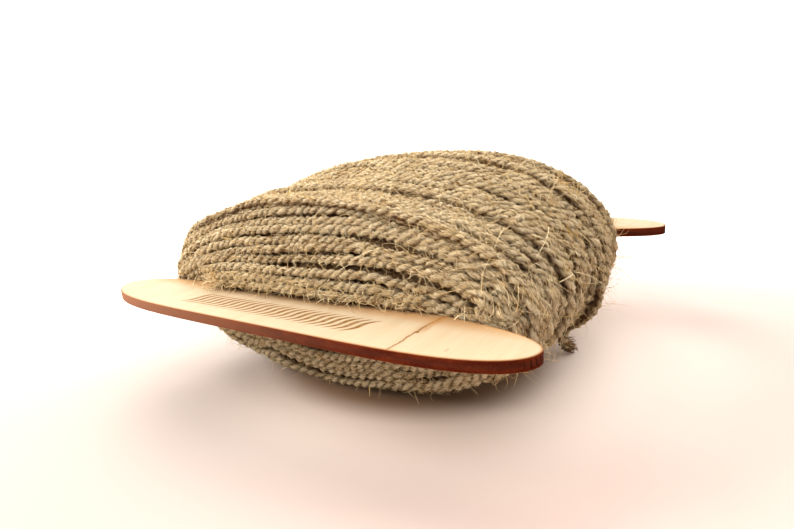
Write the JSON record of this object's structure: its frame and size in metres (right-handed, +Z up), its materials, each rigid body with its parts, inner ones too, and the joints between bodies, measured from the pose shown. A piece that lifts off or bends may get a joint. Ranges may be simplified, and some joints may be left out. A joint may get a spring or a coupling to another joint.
{
  "type": "ball of twine on a winding card",
  "caption": "Flattened ball of rough natural twine wound round a flat plywood card with rounded end bars, resting on its belly with one cut end loose.",
  "frame": {"origin": "on the surface that the ball rests on, under the centre of the card", "axes": "+Z up; +X along the card's two end bars, towards the side with the loose end; +Y from the near bar to the far bar"},
  "size_m": [0.148, 0.1428, 0.0657],
  "materials": {
    "birch_ply": "bare pale birch plywood, sanded matt, with a laser-cut edge burnt dark brown",
    "hemp_twine": "rough two-ply natural bast-fibre twine, matt and hairy, grey-beige with golden flecks"
  },
  "bodies": {
    "root": {"winding_card": "birch_ply", "wound_twine": "hemp_twine", "loose_end": "hemp_twine"}
  },
  "joints": []
}
